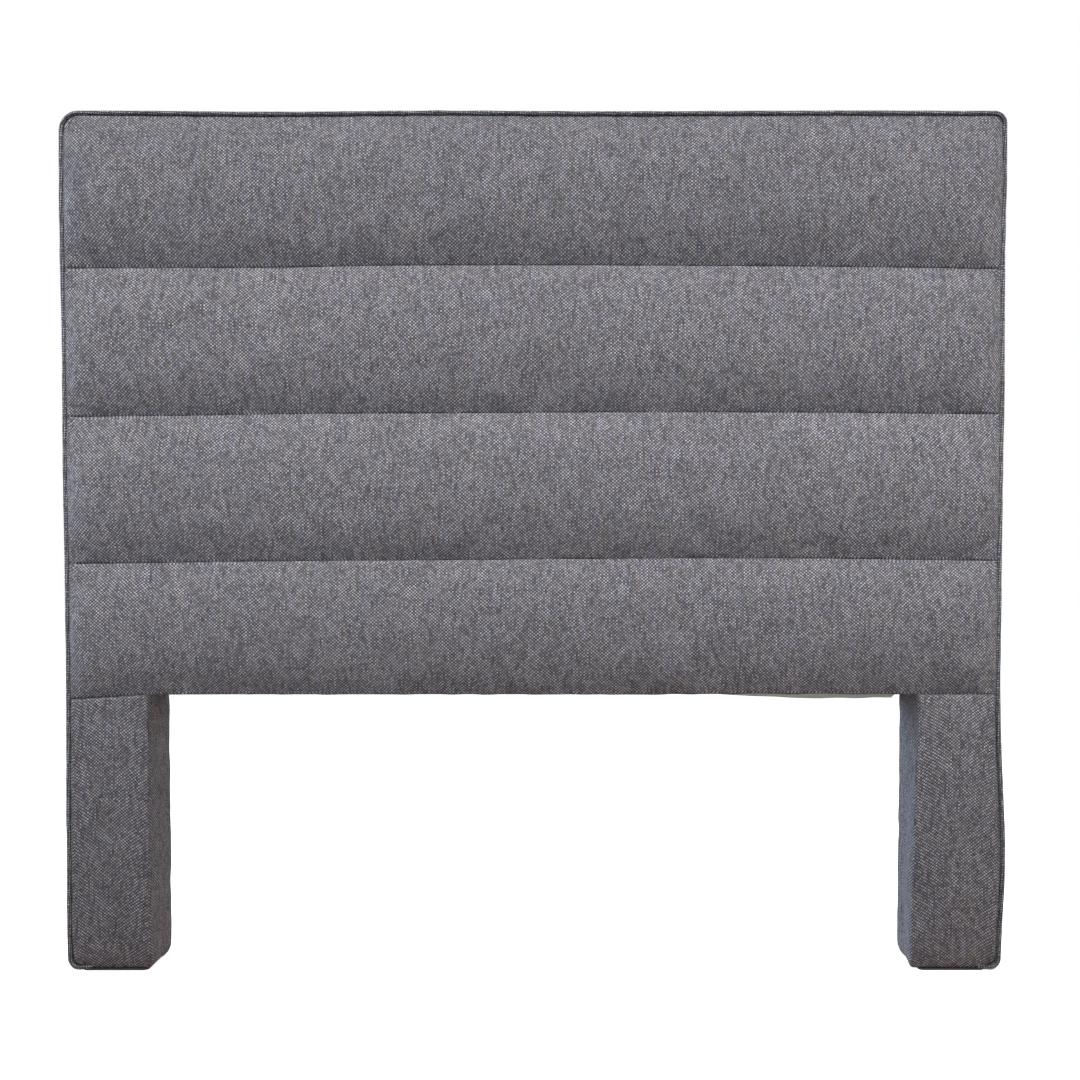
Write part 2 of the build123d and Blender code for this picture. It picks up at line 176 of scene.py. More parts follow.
def dome(share):
    """A hump over the width of a yarn: four times the share times what is left of it."""
    return share * (1 - share) * 4


def tweed(name, painted_shade_spots=(), base=0.100, seed=0.0):
    """Woven cloth. Each given spot (x, z, half width, half height, darkness) is painted shade where the cloth
    dents in.
    """
    constants = {"Sheen_Weight": 0.12, "Sheen_Roughness": 0.45, "Specular_IOR_Level": 0.25}
    material, shader, start = new_finish(name, **constants)
    flat = start.node("UVMap", uv_map="cloth")
    sway = flat.noise(11.0, dimensions="2D", output="Color")
    swayed = flat.node("VectorMath", {0: sway, 1: (0.0030, 0.0030, 0), 2: flat}, operation="MULTIPLY_ADD")
    u, v = swayed.part("X"), swayed.part("Y")
    warp = u / WARP_PITCH + FIRST_YARN + seed
    weft = v / WEFT_PITCH + FIRST_YARN
    warp_number, weft_number = warp.math("FLOOR"), weft.math("FLOOR")
    on_top = (warp_number + weft_number) % 2

    def noise_at(across, along, detail=2.0):
        """Soft noise from two lengths that are already scaled."""
        return start.node("CombineXYZ", {"X": across, "Y": along}).noise(1.0, detail, "2D")

    def per_float(number, other):
        """A chance value for each place where one yarn lies over the other."""
        place = start.node("CombineXYZ", {"X": number, "Y": other, "Z": seed})
        return start.node("TexWhiteNoise", {"Vector": place}, "Value", noise_dimensions="3D")

    # Uneven spinning shows as noise along a yarn that differs from yarn to yarn.
    warp_spinning = noise_at(warp_number * YARN_STEP, v * 34.0)
    weft_spinning = noise_at(weft_number * YARN_STEP, u * 60.0)
    warp_tone = warp_spinning * 0.9 + per_float(warp_number, weft_number) * 0.46 - 0.05
    weft_tone = weft_spinning * 0.3 + per_float(weft_number, warp_number) * 0.15 - 0.20
    tone = warp_tone * on_top + weft_tone * (1 - on_top)
    # Fibres are far finer noise, drawn out along the yarn with a slant for its twist.
    fibres = noise_at(u * 3200.0, v * 700.0 + u * 900.0, 1.0) * on_top
    fibres = fibres + noise_at(u * 700.0 + v * 900.0, v * 3200.0, 1.0) * (1 - on_top)
    over_warp, over_weft = dome(warp.math("FRACT")), dome(weft.math("FRACT"))
    crossing = over_warp * over_weft ** 0.3 * on_top + over_weft * over_warp ** 0.4 * (1 - on_top)
    cloud = flat.noise(16.0, 3.0, "2D")
    light = TONE_CONTRAST ** tone * base
    # The crossing factor is painted shade: each yarn darker towards its edges and in the gaps between yarns.
    # Cloud and fibres are the cloth's own uneven tone.
    light = light / (light + 1) * (0.88 + cloud * 0.24) * (0.40 + crossing * 0.60) * (0.60 + fibres * 0.8)
    # Painted shade: each spot darkens the cloth in an ellipse where it folds or dents in.
    for x, z, half_width, half_height, darkness in painted_shade_spots:
        across = (start.place().part("X") - x) / half_width
        up = (start.place().part("Z") - z) / half_height
        light = light * (1 - (1 - (across * across + up * up)).clamped() * darkness)
    hue = noise_at((warp_number + 31.5) * YARN_STEP, v * 30.0) * 3 - 1
    tint = mixed(hue.clamped(), COOL, NEUTRAL)
    colour = start.node("VectorMath", {"Vector": tint, "Scale": light}, operation="SCALE")
    height = crossing * (1 + on_top * 0.3) + fibres * 0.3
    rough = 0.97 - tone.clamped() * 0.12
    connect(shader, Base_Color=colour, Roughness=rough, Normal=bumped(height, 0.0004, 0.8))
    return material


panel_tweed = tweed("tweed")
print(len(panel_tweed.node_tree.nodes), "nodes weave the cloth")

# %% [markdown]
# ## Lining, timber, plywood, plastic and steel
# The back is closed with a pale lining, a felt of fine pressed fibres. The timber is sawn pine, whose growth
# rings are drawn out along each piece, so uprights and rails need the same network turned two ways. Plywood
# has a calmer face of the same kind, glides are black moulded plastic, and screws are zinc plated.

# %% Fibres of the lining


def lining_cloth():
    """Pressed fibres: two stretched noises laid across each other, over a pale beige."""
    material, shader, start = new_finish(
        "lining", Sheen_Weight=0.05, Specular_IOR_Level=0.3, Subsurface_Weight=0.8, Subsurface_Scale=0.004,
        Subsurface_Radius=(1.0, 1.0, 1.0),
    )
    flat = start.node("UVMap", uv_map="cloth")
    pressed = 0.0
    for turn, stretch in ((0.5, (900, 140, 1)), (-0.7, (800, 120, 1))):
        turned = flat.node("Mapping", {"Vector": flat, "Rotation": (0, 0, turn), "Scale": stretch})
        pressed = turned.noise(1.0, 3.0) * 0.5 + pressed
    cloud = flat.noise(30.0, 4.0)
    stops = [(0.3, (0.56, 0.51, 0.44, 1)), (0.7, (0.86, 0.81, 0.73, 1))]
    colour = start.node("ValToRGB", {"Fac": pressed * 0.7 + cloud * 0.3}, stops=stops)
    connect(shader, Base_Color=colour, Roughness=0.8 + cloud * 0.15, Normal=bumped(pressed, 0.0003, 0.5))
    return material


lining_finish = lining_cloth()
print("lining fibres run in two directions")

# %% Grain of the timber and the plywood
ALONG_GRAIN = 0.045  # how much slower the grain changes along a piece than across it


def wood(name, grain_axis, pale, dark, ring_scale, ring_share):
    """Wood: rings from noise stretched along the grain, crossed by fine pores."""
    material, shader, start = new_finish(name, Specular_IOR_Level=0.35)
    scale = [1.0, 1.0, 1.0]
    scale[grain_axis] = ALONG_GRAIN
    stretched = start.node("Mapping", {"Vector": start.place(), "Scale": scale})
    band = (stretched.noise(ring_scale, distortion=0.6) * 9).math("FRACT")
    pores = stretched.noise(900.0, 1.0)
    stops = [(0.0, (*pale, 1)), (0.75, (*dark, 1)), (1.0, (*pale, 1))]
    colour = start.node("ValToRGB", {"Fac": band * ring_share + pores * (1 - ring_share)}, stops=stops)
    height = pores + band * 0.4
    connect(shader, Base_Color=colour, Roughness=0.62 + pores * 0.2, Normal=bumped(height, 0.0003, 0.4))
    return material


PINE = ((0.72, 0.53, 0.31), (0.55, 0.35, 0.17), 26.0, 0.65)
pine_upright, pine_level = wood("pine_upright", 2, *PINE), wood("pine_level", 0, *PINE)
birch_face = wood("birch_face", 2, (0.74, 0.60, 0.41), (0.64, 0.49, 0.31), 9.0, 0.4)
print("pine runs upright and level, and birch covers the plywood")

# %% Plastic, steel and thread


def grained(name, dark, pale, scale, height, rough, **constants):
    """A plain hard finish that is never quite even: noise sets its colour, roughness and fine relief."""
    material, shader, start = new_finish(name, **constants)
    grain = start.place().noise(scale, 3.0)
    colour = mixed(grain, (*dark, 1), (*pale, 1))
    connect(shader, Base_Color=colour, Roughness=rough + grain * 0.2, Normal=bumped(grain, height, 0.5))
    return material


glide_plastic = grained("glide_plastic", (0.02, 0.02, 0.022), (0.05, 0.05, 0.05), 700.0, 0.0001, 0.5)
zinc = grained("zinc", (0.48, 0.45, 0.36), (0.72, 0.70, 0.62), 500.0, 0.00005, 0.25, Metallic=1.0)
thread = grained("thread", (0.45, 0.43, 0.42), (0.75, 0.74, 0.73), 1500.0, 0.00005, 0.7)
print("three more finishes")

# %% [markdown]
# ## Meshes from grids
# Each soft piece is a surface worked out on a grid of two parameters. Cloth and padding have a thickness, so
# a piece gets an outer and an inner grid, which are joined along their borders into one closed shell. The
# lengths along the grid are kept as a map of the flat cloth, which the weave follows.

# %% Small tools for shapes


def smooth(value, start, end):
    """A step that eases from 0 at start to 1 at end: three times the square less twice the cube."""
    share = np.clip((value - start) / (end - start), 0, 1)
    return share * share * (3 - 2 * share)


def unevenness(a, b, wavelength, seed, waves=14):
    """Gentle chance relief of about 1 at most: plane waves of many headings and lengths, added up."""
    chance = np.random.default_rng(seed)
    headings = chance.uniform(0, math.pi, waves)
    lengths = wavelength * chance.uniform(0.6, 1.9, waves)
    phases = chance.uniform(0, 2 * math.pi, waves)
    a, b = np.broadcast_arrays(np.asarray(a, float)[..., None], np.asarray(b, float)[..., None])
    turns = (a * np.cos(headings) + b * np.sin(headings)) / lengths
    return np.cos(2 * math.pi * turns + phases).sum(axis=-1) / math.sqrt(waves)


def crowded(count):
    """Steps from -1 to 1 that lie closer together towards both ends."""
    even = np.linspace(-1, 1, count)
    return 0.45 * even + 0.55 * np.sin(even * math.pi / 2)


def together(*parts):
    """Coordinates joined into points. One that is the same for a whole row or column is repeated."""
    return np.stack(np.broadcast_arrays(*parts), axis=-1)


def between(start, end, count):
    """Points in even steps from start to end: start times what is left of the way, plus end times the way."""
    share = np.linspace(0, 1, count)[:, None]
    return start * (1 - share) + end * share


def corners(node):
    """Lowest and highest corner of a solid, as arrays."""
    return tuple(np.array(corner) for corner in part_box(node))


def placed(name, data):
    """A new object in the scene that holds a mesh, a lamp or a camera."""
    thing = bpy.data.objects.new(name, data)
    bpy.context.scene.collection.objects.link(thing)
    return thing


print("an eased step is half way up in the middle:", smooth(0.5, 0, 1))

# %% A closed shell from two grids
SHARP_FROM = math.radians(55)


def quads(index):
    """The four corners of each face of a grid, from the grid of its point numbers."""
    return np.stack([index[:-1, :-1], index[:-1, 1:], index[1:, 1:], index[1:, :-1]], axis=-1).reshape(-1, 4)


def cloth_map(points):
    """Place of each grid point on the flat cloth: lengths added up along the columns and the rows."""
    across = np.linalg.norm(np.diff(points, axis=1), axis=2)
    up = np.linalg.norm(np.diff(points, axis=0), axis=2)
    u = np.pad(np.cumsum(across, axis=1), ((0, 0), (1, 0)))
    v = np.pad(np.cumsum(up, axis=0), ((1, 0), (0, 0)))
    return together(u - u[:, [points.shape[1] // 2]], v)


def new_piece(name, vertices, faces, flat, finish):
    """Put points, faces and the cloth map into a smooth mesh object, and let it ride on the frame."""
    mesh = bpy.data.meshes.new(name)
    mesh.from_pydata(vertices.reshape(-1, 3).tolist(), [], faces)
    mesh.polygons.foreach_set("use_smooth", np.ones(len(mesh.polygons), bool))
    mesh.set_sharp_from_angle(angle=SHARP_FROM)
    corner_vertex = np.empty(len(mesh.loops), np.int32)
    mesh.loops.foreach_get("vertex_index", corner_vertex)
    layer = mesh.uv_layers.new(name="cloth")
    layer.data.foreach_set("uv", flat.reshape(-1, 2)[corner_vertex].astype(np.float32).ravel())
    mesh.materials.append(finish)
    piece = placed(name, mesh)
    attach(piece, "root")
    print(f"{name}: {len(mesh.vertices)} points, {len(faces)} faces")
    return piece


def closed_shell(name, outer, inner, finish, slot="tweed", flat_shift=(0.0, 0.0)):
    """A closed mesh: the outer grid, the inner grid turned round, and a strip along their common border."""
    rows, columns = outer.shape[:2]
    index = np.arange(rows * columns).reshape(rows, columns)
    front = quads(index)
    border = np.concatenate([index[0, :-1], index[:-1, -1], index[-1, :0:-1], index[:0:-1, 0]])
    following = np.roll(border, -1)
    strip = np.stack([border, border + index.size, following + index.size, following], axis=-1)
    faces = np.concatenate([front, front[:, ::-1] + index.size, strip])
    flat = cloth_map(outer) + np.array(flat_shift)
    vertices = np.concatenate([outer.reshape(-1, 3), inner.reshape(-1, 3)])
    return new_piece(name, vertices, faces.tolist(), np.concatenate([flat, flat]), finish)


print("a shell of two grids has no open edge")

# %% [markdown]
# ## Seams and settled shapes
# No upholstery is ruled with a straight edge. Each seam between two channels bows upwards a few millimetres
# and tilts a little, the seam over the left leg sinks at its outer end, the right leg has spread, and every
# edge wanders slightly. One function moves all cloth in the same way, so that the pieces still meet.

# %% Heights of the seams
half_width, overall_height = corners("welt_cord")[1][[0, 2]]
FLOOR_GAP = 0.003
TOP_RADII = {-1: 0.034, 1: 0.022}  # left and right
FOOT_RADIUS = 0.020
face_edge = corners("channel_cover_lower")[1][0]
panel_top = corners("channel_cover_top")[1][2]
seam_lines = {
    # height at the middle, tilt over half the width, bow, how far the bow leans to the right
    "leg": (0.4880, 0.0006, 0.0008, 0.0),
    "lower": (0.7190, 0.0022, 0.0052, 0.60),
    "middle": (0.9726, 0.0024, 0.0055, 0.0),
    "upper": (1.2240, 0.0000, 0.0068, 0.1),
}
LEFT_SINK = 0.0065
# How far the legs' cloth has moved: right leg outwards, less at the floor, and inwards, left leg outwards
RIGHT_OUT, AT_FLOOR, RIGHT_IN, LEFT_OUT = 0.0126, 0.0060, 0.0090, 0.0030
WANDER = 0.0006


def seam_height(name, x):
    """Height of a seam along x: a tilt in proportion to x and a bow that falls as its square."""
    level, tilt, bow, lean = seam_lines[name]
    share = x / face_edge
    height = level + tilt * share + bow * (1 - share * share) * (1 + lean * share)
    if name == "leg":
        height = height - LEFT_SINK * (1 - smooth(x, -0.81, -0.665))
    return height


def settled(points):
    """Move points of the cloth as it has settled: sideways in the legs and a little all over."""
    x, y, z = points[..., 0], points[..., 1], points[..., 2]
    front = 1 - 0.65 * smooth(y, -0.01, 0.06)
    right_out = (RIGHT_OUT * (1 - smooth(z, 0.17, 0.50)) - AT_FLOOR * (1 - smooth(z, 0.0, 0.20))) * front
    right_out = right_out * smooth(x, 0.70, 0.80)
    right_in = RIGHT_IN * smooth(x, 0.60, 0.66) * (1 - smooth(x, 0.68, 0.74)) * (1 - smooth(z, 0.12, 0.46))
    right_in = right_in * (1 - smooth(y, -0.04, 0.03))
    left_out = LEFT_OUT * (1 - smooth(x, -0.80, -0.70)) * (1 - smooth(z, 0.25, 0.50))
    off_floor = smooth(z, 0.0, 0.06)
    wander_x = WANDER * unevenness(x, z, 0.30, seed=3) * off_floor
    wander_z = WANDER * unevenness(x, z, 0.34, seed=4) * off_floor
    return together(x + right_out - right_in - left_out + wander_x, y, z + wander_z)


for name in seam_lines:
    print(name, "seam at the middle:", round(float(seam_height(name, 0.0)), 4))

# %% [markdown]
# ## The padded channels
# Each channel is a strip of foam in its own strip of cloth, pulled tight into a seam above and below and
# drawn in at both ends. Its section is a flat arc whose edges dive into the seam, with small puckers along
# the seams and soft dents in the foam. A cloth simulation then lets the surface swell a few millimetres
# between its seams, which gives the slight pull lines of real cloth.

# %% Let cloth swell between its seams


def resampled(field, count):
    """A field of vectors on a grid, read at more rows: the share between two rows goes from 0 to 1."""
    place = np.linspace(0, len(field) - 1, count)
    low = np.minimum(place.astype(int), len(field) - 2)
    share = (place - low)[:, None, None]
    return field[low] * (1 - share) + field[low + 1] * share


def swell(points, cap, step=2, frames=20, pressure=4.0):
    """How far each grid point moves when the cloth is blown up softly with its border held, at most cap."""
    coarse = points[::step, ::step]
    rows, columns = coarse.shape[:2]
    index = np.arange(rows * columns).reshape(rows, columns)
    mesh = bpy.data.meshes.new("swelling")
    mesh.from_pydata(coarse.reshape(-1, 3).tolist(), [], quads(index).tolist())
    body = placed("swelling", mesh)
    held = body.vertex_groups.new(name="held")
    border = np.concatenate([index[0], index[-1], index[1:-1, 0], index[1:-1, -1]])
    held.add(border.tolist(), 1.0, "REPLACE")
    cloth = body.modifiers.new("cloth", "CLOTH")
    cloth.settings.vertex_group_mass = "held"
    cloth.settings.effector_weights.gravity = 0
    cloth.settings.use_pressure = True
    cloth.settings.uniform_pressure_force = pressure
    cloth.settings.tension_stiffness = 25
    cloth.settings.bending_stiffness = 2
    cloth.settings.shrink_min = -0.012
    cloth.collision_settings.use_self_collision = False
    cloth.point_cache.frame_end = frames
    for number in range(1, frames + 1):
        bpy.context.scene.frame_set(number)
    swollen = body.evaluated_get(bpy.context.evaluated_depsgraph_get()).data
    moved = np.empty(rows * columns * 3, np.float32)
    swollen.vertices.foreach_get("co", moved)
    bpy.context.scene.frame_set(1)
    shift = moved.reshape(rows, columns, 3) - coarse
    length = np.linalg.norm(shift, axis=2)
    shift *= (cap * np.tanh(length / cap) / np.maximum(length, 1e-9))[..., None]
    bpy.data.objects.remove(body)
    bpy.data.meshes.remove(mesh)
    fine = resampled(shift, points.shape[0])
    return resampled(fine.swapaxes(0, 1), points.shape[1]).swapaxes(0, 1)


print("the cloth solver is skipped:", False)

# %% The channel as a surface
SEAM_FRONT = -0.0448
PANEL_FACE = -0.0393
CHANNEL_RISE = 0.0230
END_DRAW = 0.060
SEAM_GAP = 0.00015  # on each side of a seam, so that two strips of cloth don't touch
DENT, SMALL_DENT, PUCKER = 0.0011, 0.0008, 0.0007


def top_edge(x):
    """Upper edge of the face: level, then a quarter circle down at each end."""
    radius = np.where(x < 0, TOP_RADII[-1], TOP_RADII[1]) - (half_width - face_edge)
    over = np.clip(np.abs(x) - (face_edge - radius), 0, radius)
    return panel_top - radius + np.sqrt(radius * radius - over * over)


def channel_crown(t):
    """Section of a channel from edge (-1) over the middle to edge (1): a flat arc with short steep ends."""
    t = np.abs(t)
    return 0.14 * np.sqrt(np.clip(1 - t ** 16, 0, 1)) + 0.86 * (1 - t ** 2.1)


def end_draw(x):
    """How much of the rise is left near an end: it falls away ever steeper over the last centimetres."""
    left = np.clip((face_edge - np.abs(x)) / END_DRAW, 0, 1)
    return 0.12 + 0.88 * (1 - (1 - left) ** 2.2) ** 0.57


def channel_face(low_line, high_line, seed, rows=65, columns=321):
    """The face of a channel between two lines, as a grid of rows from low to high."""
    x = (face_edge * crowded(columns))[None, :]
    t = crowded(rows)[:, None]
    low, high = low_line(x), high_line(x)
    z = low + (high - low) * (t + 1) / 2
    soft = np.sqrt(np.clip(channel_crown(t), 0, 1)) * end_draw(x)
    dents = DENT * unevenness(x, z, 0.11, seed) + SMALL_DENT * unevenness(x, z, 0.045, seed + 1)
    puckers = sum(
        unevenness(x, 0.0, 0.022, pucker_seed, waves=9) * np.exp(-distance / 0.016)
        for distance, pucker_seed in ((z - low, seed + 20), (high - z, seed + 21))
    )
    rise = CHANNEL_RISE * channel_crown(t) * end_draw(x) + (dents + PUCKER * puckers) * soft
    return together(x, SEAM_FRONT - rise, z)


def seam(name, shift):
    """The line of a seam, as a function of x that gives its height plus the shift."""
    return lambda x: seam_height(name, x) + shift


face_lines = {
    "bottom": (seam("leg", SEAM_GAP), seam("lower", -SEAM_GAP)),
    "lower": (seam("lower", SEAM_GAP), seam("middle", -SEAM_GAP)),
    "upper": (seam("middle", SEAM_GAP), seam("upper", -SEAM_GAP)),
    "top": (seam("upper", SEAM_GAP), top_edge),
}
for number, (name, (low_line, high_line)) in enumerate(face_lines.items()):
    face = channel_face(low_line, high_line, seed=40 + 7 * number)
    face = face + swell(face, cap=0.0035)
    back = face.copy()
    back[..., 1] = PANEL_FACE
    channel = closed_shell(
        f"channel_{name}", settled(face), settled(back), panel_tweed, flat_shift=(0.37 * number, 1.3 * number)
    )
    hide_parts(f"channel_cover_{name}", f"channel_foam_{name}")

# %% [markdown]
# ## The outer edge
# A line round the headboard, from under one foot over the top to under the other, carries both the welt cord
# along the front edge and the border cloth round the sides. So it is worked out once, with its outward
# direction at every point.

# %% The line round the headboard


def outer_line(spacing=0.006):
    """Points and outward directions of a rounded rectangle, clockwise from under the left foot."""
    arcs = [  # side, height of the centre, radius, first and last angle
        (-1, FLOOR_GAP + FOOT_RADIUS, FOOT_RADIUS, 270, 180),
        (-1, overall_height - TOP_RADII[-1], TOP_RADII[-1], 180, 90),
        (1, overall_height - TOP_RADII[1], TOP_RADII[1], 90, 0),
        (1, FLOOR_GAP + FOOT_RADIUS, FOOT_RADIUS, 0, -90),
    ]
    places, outward = [], []
    for side, height, radius, first, last in arcs:
        angle = np.radians(np.linspace(first, last, 15))
        direction = together(np.cos(angle), np.sin(angle))
        points = np.array([side * (half_width - radius), height]) + radius * direction
        if places:
            count = int(np.linalg.norm(points[0] - places[-1][-1]) / spacing)
            places.append(between(places[-1][-1], points[0], count + 1)[1:-1])
            outward.append(np.broadcast_to(direction[0], places[-1].shape))
        places.append(points)
        outward.append(direction)
    return np.concatenate(places), np.concatenate(outward)


line, outward = outer_line()
print(len(line), "points,", round(float(np.linalg.norm(np.diff(line, axis=0), axis=1).sum()), 3), "m long")

# %% [markdown]
# ### Welt cord
# A welt is a cord wrapped in the same cloth, cut on the bias, and sewn into the seam. It could be a curve
# with a round bevel. As a tube from arrays it also gets a cloth map turned by 45 degrees, as such cloth is.

# %% Tubes along paths


def tubes(name, paths, radius, sides, across, finish, turned=0.0):
    """Round bars: rings of points square to each path and to the direction across, closed at both ends."""
    count, stations = paths.shape[:2]
    along = np.gradient(paths, axis=1)
    along /= np.linalg.norm(along, axis=2, keepdims=True)
    first = np.cross(along, across)
    first /= np.linalg.norm(first, axis=2, keepdims=True)
    second = np.cross(along, first)
    angle = np.arange(sides) * 2 * math.pi / sides
    ring = first[:, :, None] * np.cos(angle)[:, None] + second[:, :, None] * np.sin(angle)[:, None]
    vertices = paths[:, :, None] + ring * np.broadcast_to(radius, (count, stations))[..., None, None]
    index = np.arange(count * stations * sides).reshape(count, stations, sides)
    after = np.roll(index, -1, axis=2)
    walls = np.stack([index[:, :-1], after[:, :-1], after[:, 1:], index[:, 1:]], axis=-1).reshape(-1, 4)
    caps = index[:, 0, ::-1].tolist() + index[:, -1].tolist()
    length = np.pad(np.cumsum(np.linalg.norm(np.diff(paths, axis=1), axis=2), axis=1), ((0, 0), (1, 0)))
    u, v = length[..., None], np.abs(angle / math.pi - 1) * math.pi * np.mean(radius)
    cosine, sine = math.cos(turned), math.sin(turned)
    flat = together(u * cosine - v * sine, u * sine + v * cosine)
    return new_piece(name, vertices, walls.tolist() + caps, flat, finish)


print("a tube has rings and two caps")

# %% The welt cord
WELT_RADIUS = 0.00375
UNDER_FOOT = 0.018
welt_middle = float(corners("welt_cord")[0][1]) + WELT_RADIUS
running = np.pad(np.cumsum(np.linalg.norm(np.diff(line, axis=0), axis=1)), (1, 0))
welt_line = line - outward * WELT_RADIUS
welt_path = together(welt_line[:, 0], welt_middle, welt_line[:, 1])
welt_path[:, 1] += 0.0003 * unevenness(running, 0.0, 0.06, seed=8)
end = np.linspace(UNDER_FOOT, 0.003, 6)[:, None] * np.array([1.0, 0.35, 0.0])
welt_path = np.concatenate([welt_path[0] + end, welt_path, welt_path[-1] + end[::-1] * (-1, 1, 1)])
welt_radius = WELT_RADIUS * (1 + 0.035 * unevenness(np.arange(len(welt_path)) * 0.006, 0.0, 0.05, seed=9))
# The welt is the same tweed, painted darker than the panel's as shade on the cord.
welt_tweed_painted_shade = tweed("welt_tweed_painted_shade", base=0.080, seed=17.0)
welt = tubes(
    "welt", settled(welt_path)[None], welt_radius[None], 16, (0.0, 1.0, 0.0), welt_tweed_painted_shade,
    turned=math.radians(45),
)
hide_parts("welt_cord")

# %% [markdown]
# ### Border
# The border cloth goes round the outer sides over a thin padding and onto the back, where the lining hides
# its raw edge. Its section has an outer and an inner line of as many points, which give two grids again. It
# is joined below the top corners, so there are three pieces.

# %% Carry the border's section
SIDE_INSIDE = 0.001  # from the outer line to the cloth on the side
TURN = 0.003  # radius of the edge towards the back
HEM_END = 0.019  # how far the cloth goes onto the back
CORE_INSIDE = 0.0066  # from the outer line to the timber under the padding
CORE_BACK = 0.0016  # thickness of the cloth on the back


def carry(section, first, last):
    """The grid of a section, given as (how far inside the outer line, y), along part of the line."""
    places, ways = line[first:last], outward[first:last]
    inside, depth = section[:, 0][:, None], section[:, 1][:, None]
    return together(places[:, 0] - ways[:, 0] * inside, depth, places[:, 1] - ways[:, 1] * inside)


(_, border_front, _), (_, hem_back, joint_height) = corners("side_border_left")
across = np.linspace(0, 1, 24)
side_depth = border_front + (hem_back - TURN - border_front) * across
side_inside = SIDE_INSIDE - 0.0016 * np.sin(across * math.pi) ** 0.7 + 0.002 * (1 - across) ** 8
turn = np.radians(np.linspace(10, 90, 6))
outer_section = np.concatenate([
    together(side_inside, side_depth),
    together(SIDE_INSIDE + TURN * (1 - np.cos(turn)), hem_back - TURN + TURN * np.sin(turn)),
    together(np.linspace(0.005, HEM_END, 5), hem_back),
])
inner_section = np.concatenate([
    together(CORE_INSIDE, border_front + (hem_back - CORE_BACK - border_front) * across),
    together(np.linspace(CORE_INSIDE, 0.0068, 6), hem_back - CORE_BACK),
    together(np.linspace(0.0072, HEM_END, 5), hem_back - CORE_BACK),
])
left_end = int(np.argmax(line[:, 1] > joint_height))
right_start = len(line) - left_end
for name, first, last in (
    ("left", 0, left_end), ("top", left_end - 1, right_start + 1), ("right", right_start, len(line)),
):
    outer, inner = carry(outer_section, first, last), carry(inner_section, first, last)
    down_section = np.linspace(0, 0.11, len(outer))[:, None]
    relief = 0.0006 * unevenness(running[first:last], down_section, 0.07, seed=11)
    outer += together(relief * outward[first:last, 0], 0.0, relief * outward[first:last, 1])
    outer, inner = settled(outer), settled(inner)
    border = closed_shell(f"border_{name}", outer, inner, panel_tweed, flat_shift=(5.0, 2.0))
    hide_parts(f"side_border_{name}", f"side_padding_{name}")

# %% [markdown]
# ## The legs
# One piece of cloth covers the front of a leg over a thin pad, turns round the edge towards the gap, runs to
# the back and is folded under the foot. Seen from above it is a C, and each column of the grid goes up from a
# hem under the foot, round a soft corner, to the seam under the panel.

# %% A line with rounded corners
leg_low, leg_high = corners("leg_cover_left")
LEG_MIDDLE = (leg_low + leg_high) / 2
LEG_HALF = (leg_high - leg_low) / 2
BACK_HEM = 0.018


def rounded_line(points, radii, spacing):
    """Straight runs between points, with a quarter circle of the given radius at each inner corner."""
    points = np.array(points, float)
    pieces, start = [], points[0]
    for before, corner, after, radius in zip(points, points[1:], points[2:], radii):
        way_in = (corner - before) / np.linalg.norm(corner - before)
        way_out = (after - corner) / np.linalg.norm(after - corner)
        enter, leave = corner - way_in * radius, corner + way_out * radius
        angle = np.linspace(0, math.pi / 2, 7)[:, None]
        centre = leave - way_in * radius
        count = max(int(np.linalg.norm(enter - start) / spacing), 2)
        pieces.append(between(start, enter, count + 1)[:-1])
        pieces.append(centre - way_out * radius * np.cos(angle) + way_in * radius * np.sin(angle))
        start = leave
    count = max(int(np.linalg.norm(points[-1] - start) / spacing), 2)
    return np.concatenate(pieces + [between(start, points[-1], count + 1)[1:]])


plan_corners = [leg_low[:2], (leg_high[0], leg_low[1]), leg_high[:2], leg_high[:2] - (BACK_HEM, 0)]
plan = rounded_line(plan_corners, [0.005, 0.003], 0.0035)
print(len(plan), "columns from the welt round to the back hem")

# %% The cloth of a leg
HEM_UNDER = 0.028
HEM_ROWS, CURL_ROWS, UP_ROWS = 7, 12, 110
CURL_HEIGHTS = (0.065, 0.050, 0.030)  # of the rounding above the foot, at the front, half way and at the back
CURL_DEPTHS = (0.013, 0.013, 0.018)
LEG_CLOTH = 0.0015
WELT_INSIDE = 0.0123  # radius of the welt's inner side at the foot


def crease(x, z, place, length, width, turned=0.0):
    """A fold that fades at its ends: a bell curve, long one way and narrow the other."""
    along = (x - place[0]) * math.cos(turned) + (z - place[1]) * math.sin(turned)
    over = (z - place[1]) * math.cos(turned) - (x - place[0]) * math.sin(turned)
    return np.exp(-((along / length) ** 2) - (over / width) ** 2)


def curl(height, reach):
    """A quarter of an ellipse, 1 at the bottom and 0 at its reach: one less the root of one less a square."""
    left = np.clip(1 - height / reach, 0, 1)
    return 1 - np.sqrt(1 - left * left)


